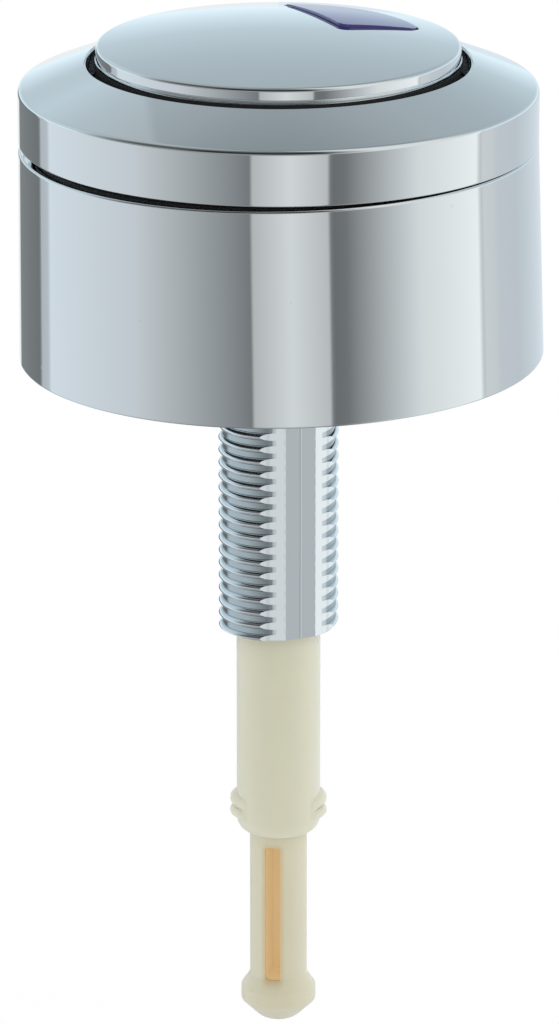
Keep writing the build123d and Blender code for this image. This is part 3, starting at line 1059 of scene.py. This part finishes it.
plasticLooks = {
    "ivory_plastic": {"dark": (0.63, 0.615, 0.455, 1), "light": (0.69, 0.675, 0.515, 1),
                      "gloss": 0.38, "spread": 0.12, "pitting": 1800.0, "bump": 0.012 * mm, "ior": 1.5},
    "blue_plastic": {"dark": (0.05, 0.04, 0.19, 1), "light": (0.062, 0.05, 0.225, 1),
                     "gloss": 0.08, "spread": 0.06, "pitting": 900.0, "bump": 0.002 * mm, "ior": 1.6},
    "black_plastic": {"dark": (0.018, 0.018, 0.02, 1), "light": (0.028, 0.028, 0.03, 1),
                      "gloss": 0.5, "spread": 0.2, "pitting": 2600.0, "bump": 0.02 * mm, "ior": 1.5},
    "white_plastic": {"dark": (0.66, 0.66, 0.64, 1), "light": (0.74, 0.74, 0.72, 1),
                      "gloss": 0.45, "spread": 0.15, "pitting": 2200.0, "bump": 0.015 * mm, "ior": 1.5},
}


def makePlastic(name, look):
    material, tree, shader = newMaterial(name)
    grain = placeGroup(tree, mouldedGrain, Pitting=look["pitting"], Gloss=look["gloss"],
                       Spread=look["spread"])
    colour = mixColours(tree, grain.outputs["Clouds"], look["dark"], look["light"])
    link(tree, colour, shader.inputs["Base Color"])
    link(tree, grain.outputs["Roughness"], shader.inputs["Roughness"])
    shader.inputs["IOR"].default_value = look["ior"]
    useBump(tree, shader, grain.outputs["Height"], look["bump"])
    return material


ivory, blue, black, white = [makePlastic(name, look) for name, look in plasticLooks.items()]

# The ivory is milky: light goes a little way into it. Its edges are painted paler, a painted rim highlight
# for light coming through them
milkyAndPaintedRim = {
    "weight": 0.35,
    "radius": (1.6, 1.3, 0.8),
    "scale": mm,
    # colour of the painted rim highlight, mixed in where the surface turns away from the camera
    "edge": (0.84, 0.84, 0.76, 1),
    "blend": 0.32,
}


def addMilkinessAndPaintedRim(material, look):
    tree, shader = shaderOf(material)
    shader.inputs["Subsurface Weight"].default_value = look["weight"]
    shader.inputs["Subsurface Radius"].default_value = look["radius"]
    shader.inputs["Subsurface Scale"].default_value = look["scale"]
    # painted rim highlight: the base colour is made paler towards the outline
    paintedRimShare = addNode(tree, "ShaderNodeLayerWeight")
    paintedRimShare.inputs["Blend"].default_value = look["blend"]
    plain = sourceOf(shader.inputs["Base Color"])
    paintedRim = mixColours(tree, paintedRimShare.outputs["Facing"], plain, look["edge"])
    link(tree, paintedRim, shader.inputs["Base Color"])


addMilkinessAndPaintedRim(ivory, milkyAndPaintedRim)

# The blue has a glossy skin
blueSkin = {"Coat Weight": 0.35, "Coat Roughness": 0.02}
for label, value in blueSkin.items():
    shaderOf(blue)[1].inputs[label].default_value = value


# The rod is the same ivory, a little warmer. In and beside its slot it has painted shade, an amber tint, and
# a painted glow for light through the thin wall

slotShadeAndGlow = {
    # amber of the painted shade and painted glow in and beside the slot
    "colour": (0.57, 0.43, 0.235, 1),
    "across": (0.7, 1.8),      # distances from the slot's middle between which the tint dies away
    "behind": (-2.2, -1.4),    # depths between which it comes in, on the slot's own axis
    "lowEnd": (-1.3, 0.3),     # where it comes in, from the slot's lower end
    "highEnd": (-0.6, 0.8),    # where it goes out, from the upper end
    "glow": 0.50,              # painted light: emission that stands in for light coming through the thin wall
    "glowInside": (3.0, 3.8),  # radii between which the glow dies away
    "warm": (0.60, 0.54, 0.37, 1),
    "warmShare": 0.3,
}


def makeRodIvoryWithPaintedSlot(tint):
    material = ivory.copy()
    material.name = "rod_ivory"
    tree, shader = shaderOf(material)
    low, high = slotEnds(rodSizes)
    x, y, z = turnedParts(tree, objectCoords(tree), rodSizes["slotSide"])

    def span(label, start=0.0):            # two of the tint's distances, in metres
        return [(start + distance) * mm for distance in tint[label]]

    across = fadeOut(tree, calc(tree, "ABSOLUTE", y), *span("across"))
    facing = fadeBetween(tree, x, *span("behind"))
    above = fadeBetween(tree, z, *span("lowEnd", low))
    below = fadeOut(tree, z, *span("highEnd", high))
    along = calc(tree, "MULTIPLY", above, below)
    share = calc(tree, "MULTIPLY", calc(tree, "MULTIPLY", across, facing), along)
    warmed = mixColours(tree, tint["warmShare"], sourceOf(shader.inputs["Base Color"]), tint["warm"])
    link(tree, mixColours(tree, share, warmed, tint["colour"]), shader.inputs["Base Color"])
    # painted glow: emission in and beside the slot, standing in for light through the thin wall
    inside = fadeOut(tree, lengthOf(tree, x, y), *span("glowInside"))
    glow = calc(tree, "MULTIPLY", calc(tree, "MULTIPLY", share, inside), tint["glow"])
    shader.inputs["Emission Color"].default_value = tint["colour"]
    link(tree, glow, shader.inputs["Emission Strength"])
    return material


rodIvory = makeRodIvoryWithPaintedSlot(slotShadeAndGlow)


# Drawn wire for the springs

wireLook = {"colour": (0.5, 0.5, 0.51, 1), "shine": 0.28, "smear": 0.15, "waves": 0.004 * mm}
springSteel = makeMetal("spring_steel", wireLook)

for piece, material in (
    (ring, brightChrome), (collar, brightChrome), (cap, brightChrome), (stem, stemChrome),
    (button, blue), (tube, ivory), (rod, rodIvory), (springs[0], springSteel), (springs[1], springSteel),
    (frame["nodes"]["base_cup"], black), (frame["nodes"]["button_carrier"], black),
    (frame["nodes"]["half_flush_slider"], white),
):
    piece.data.materials.clear()
    piece.data.materials.append(material)
print("materials set")


# Camera at the photograph's place

cameraSetup = {
    "distance": 0.800,         # level, from the stem's axis
    "azimuth": -24.0,          # degrees round from -Y
    "height": 0.2380,
    "tiltDown": 18.023,
    "lens": 222.3,
    "sensor": 36.0,
    "shiftX": 0.001,
    "clipStart": 0.05,
}


def makeCamera(setup):
    azimuth, tilt = radians(setup["azimuth"]), radians(setup["tiltDown"])
    data = bpy.data.cameras.new("camera")
    data.sensor_width = setup["sensor"]
    data.lens = setup["lens"]
    data.shift_x = setup["shiftX"]
    data.clip_start = setup["clipStart"]
    camera = bpy.data.objects.new("camera", data)
    bpy.context.scene.collection.objects.link(camera)
    camera.location = (setup["distance"] * sin(azimuth), -setup["distance"] * cos(azimuth), setup["height"])
    gaze = Vector((-sin(azimuth) * cos(tilt), cos(azimuth) * cos(tilt), -sin(tilt)))
    camera.rotation_mode = "QUATERNION"
    camera.rotation_quaternion = gaze.to_track_quat("-Z", "Y")
    bpy.context.scene.camera = camera


makeCamera(cameraSetup)


# Pale floor, low enough that the rod clears it at full travel

floorSetup = {"below": 14.0, "size": 8.0, "colour": (0.9, 0.9, 0.9, 1), "roughness": 0.9, "whiteShare": 0.93}


def mixShaders(tree, share, first, second):
    node = addNode(tree, "ShaderNodeMixShader")
    for socket, source in zip(node.inputs, (share, first, second)):
        link(tree, source, socket)
    return node.outputs[0]


def makeFloor(setup):          # white to the camera, and clear from below
    deselect()
    bpy.ops.mesh.primitive_plane_add(size=setup["size"], location=(0, 0, cadLow.z - setup["below"] * mm))
    floor = bpy.context.object
    floor.name = "floor"
    applyPlace()
    material, tree, shader = newMaterial("pale_floor")
    shader.inputs["Base Color"].default_value = setup["colour"]
    shader.inputs["Roughness"].default_value = setup["roughness"]
    seen = addNode(tree, "ShaderNodeLightPath").outputs["Is Camera Ray"]
    fromBelow = addNode(tree, "ShaderNodeNewGeometry").outputs["Backfacing"]
    glow = addNode(tree, "ShaderNodeEmission").outputs[0]
    clear = addNode(tree, "ShaderNodeBsdfTransparent").outputs[0]
    whitened = mixShaders(tree, calc(tree, "MULTIPLY", seen, setup["whiteShare"]), shader.outputs[0], glow)
    link(tree, mixShaders(tree, fromBelow, whitened, clear), tree.nodes["Material Output"].inputs["Surface"])
    floor.data.materials.append(material)
    floor.visible_glossy = False           # the chrome shows the studio's panels instead


makeFloor(floorSetup)


# Studio: what the chrome shows, panels all round, dark flags above them in front and a wall behind,
# and a plain soft light for all that isn't glossy
# Bearings are degrees round from the camera, positive to its right; heights are 0 level and 1 overhead

studio = {
    "panels": [                # (from, to, brightness at either end, and how cool it is)
        (-180, -165, 0.90, 0.90, 0.0),
        (-163, -131, 0.24, 0.18, 0.5),
        (-130, -123, 0.50, 0.54, 1.0),
        (-121, -100, 0.76, 0.72, 1.1),
        (-100, -66, 0.72, 0.63, 0.9),
        (-66, -12.3, 0.63, 0.20, 0.6),
        (-11.4, 5, 0.50, 0.72, 0.0),
        (5, 21.8, 0.72, 0.53, 0.0),
        (22.6, 29, 0.16, 0.18, 0.5),
        (29, 64, 0.18, 0.74, 0.3),
        (64, 98, 0.74, 0.93, 0.0),
        (98.8, 99.6, 0.54, 0.54, 0.3),
        (100.4, 108, 0.66, 0.64, 0.3),
        (112, 128, 0.60, 0.585, 0.9),
        (128, 180, 0.585, 0.84, 1.1),
    ],
    "coolTint": (-0.045, 0.0, 0.065),      # what each step of coolness adds to the tint
    "skyTint": (-0.06, 0.0, 0.045),        # the same on the back wall
    "tint": (0.95, 1.0, 1.01),
    "ceiling": [               # high up, with a dark flag over the camera and to its left
        (-180, -146, 0.50, 0.45, 0.0),
        (-134, -50, 0.10, 0.10, 0.0),
        (-38, 22, 0.03, 0.03, 0.0),
        (45, 120, 0.75, 0.80, 0.0),
        (130, 180, 0.70, 0.50, 0.0),
    ],
    "lowCeiling": [            # between the panels and those flags
        (-180, -120, 0.55, 0.40, 0.5),
        (-90, 22, 0.30, 0.30, 0.5),
        (45, 120, 0.75, 0.80, 0.0),
        (130, 180, 0.70, 0.60, 0.0),
    ],
    "flagsFrom": (0.28, 0.40), # heights between which the flags come in
    "flagsTo": (0.78, 0.88),   # heights between which they thin out again
    "flagsLeft": 0.6,          # share of them that is left above
    "backWall": [              # (height, brightness, and how cool it is)
        (0.0, 0.97, 2.0), (0.14, 0.78, 2.0), (0.24, 0.64, 2.0), (0.41, 0.535, 2.0), (0.57, 0.465, 1.8),
        (0.72, 0.43, 1.6), (0.79, 0.385, 1.5), (0.84, 0.33, 1.5), (0.88, 0.285, 1.6), (1.0, 0.25, 1.6),
    ],
    "sidePanel": [(0.45, 0.65, 2.0), (0.60, 0.56, 1.8), (0.70, 0.51, 1.5), (0.78, 0.465, 1.2)],
    "sideFrom": -159.4,        # bearing of that panel's edge on the back wall, at sideHigh
    "sideHigh": 0.78,
    "sideLean": 18.0,          # how far the edge leans, degrees for each unit of height
    "sideSoft": 0.72,          # degrees over which the edge fades, either way
    "sideLow": (0.22, 0.44),   # heights between which it comes in
    "wallFrom": (-0.25, 0.3),  # where the ceiling gives way to the back wall, from front to back
    "panelsTo": (-0.06, 0.03), # heights between which the panels give way to what is above them
    "floorFrom": (0.6, 0.85),  # depths between which they give way to the floor
    "floorGlow": 0.30,
    "plainLight": [            # as the panels, in plain white
        (-180, -90, 1.2, 1.1),
        (-60, -10, 0.95, 0.85),
        (20, 90, 0.95, 1.3),
        (120, 180, 1.35, 1.2),
    ],
}


def lightColour(level, cool, tint):
    return tuple(level * (part + cool * step) for part, step in zip(studio["tint"], studio[tint]))


def bearingRamp(tree, bearing, panels):
    stops = []
    for start, end, first, last, *cool in panels:      # without a coolness the light is plain white
        for angle, level in ((start, first), (end, last)):
            colour = lightColour(level, *cool, "coolTint") if cool else level
            stops.append((angle / 360 + 0.5, colour))
    return rampOf(tree, bearing, stops)


def heightRamp(tree, height, levels):
    stops = [(at, lightColour(level, cool, "skyTint")) for at, level, cool in levels]
    return rampOf(tree, height, stops)


def makeCeiling(tree, setup, bearing, z):
    thinning = fadeBetween(tree, z, *setup["flagsTo"])
    kept = calc(tree, "MULTIPLY_ADD", thinning, setup["flagsLeft"] - 1.0, 1.0)
    flags = calc(tree, "MULTIPLY", fadeBetween(tree, z, *setup["flagsFrom"]), kept)
    low = bearingRamp(tree, bearing, setup["lowCeiling"])
    return mixColours(tree, flags, low, bearingRamp(tree, bearing, setup["ceiling"]))


def makeBackWall(tree, setup, bearing, x, z):
    edge, lean, soft = setup["sideFrom"] / 360 + 0.5, setup["sideLean"] / 360, setup["sideSoft"] / 360
    leant = calc(tree, "MULTIPLY_ADD", z, -lean, lean * setup["sideHigh"])
    pastEdge = fadeBetween(tree, calc(tree, "ADD", bearing, leant), edge - soft, edge + soft)
    onLeft = calc(tree, "MULTIPLY", pastEdge, calc(tree, "LESS_THAN", x, 0.0))
    share = calc(tree, "MULTIPLY", onLeft, fadeBetween(tree, z, *setup["sideLow"]))
    wall = heightRamp(tree, z, setup["backWall"])
    return mixColours(tree, share, wall, heightRamp(tree, z, setup["sidePanel"]))


def makeStudio(setup):
    world = bpy.data.worlds.new("studio")
    world.use_nodes = True
    bpy.context.scene.world = world
    tree = world.node_tree
    tree.nodes.clear()
    directions = addNode(tree, "ShaderNodeTexCoord").outputs["Generated"]
    x, y, z = turnedParts(tree, directions, cameraSetup["azimuth"])
    bearing = calc(tree, "MULTIPLY_ADD", turnFromFront(tree, x, y), 0.5 / pi, 0.5)     # 0.5 at the camera
    panels = bearingRamp(tree, bearing, setup["panels"])
    ceiling = makeCeiling(tree, setup, bearing, z)
    backWall = makeBackWall(tree, setup, bearing, x, z)
    above = mixColours(tree, fadeBetween(tree, y, *setup["wallFrom"]), ceiling, backWall)
    room = mixColours(tree, fadeBetween(tree, z, *setup["panelsTo"]), panels, above)
    down = fadeBetween(tree, calc(tree, "MULTIPLY", z, -1.0), *setup["floorFrom"])
    room = mixColours(tree, down, room, (setup["floorGlow"],) * 3 + (1,))
    plain = bearingRamp(tree, bearing, setup["plainLight"])
    rays = addNode(tree, "ShaderNodeLightPath")
    roomLight = addNode(tree, "ShaderNodeBackground")
    link(tree, mixColours(tree, rays.outputs["Is Glossy Ray"], plain, room), roomLight.inputs["Color"])
    paper = addNode(tree, "ShaderNodeBackground")
    paper.inputs["Color"].default_value = (1, 1, 1, 1)
    shown = mixShaders(tree, rays.outputs["Is Camera Ray"], roomLight.outputs[0], paper.outputs[0])
    link(tree, shown, addNode(tree, "ShaderNodeOutputWorld").inputs["Surface"])


makeStudio(studio)
bpy.context.scene.view_settings.view_transform = "Standard"
print("studio and camera set")
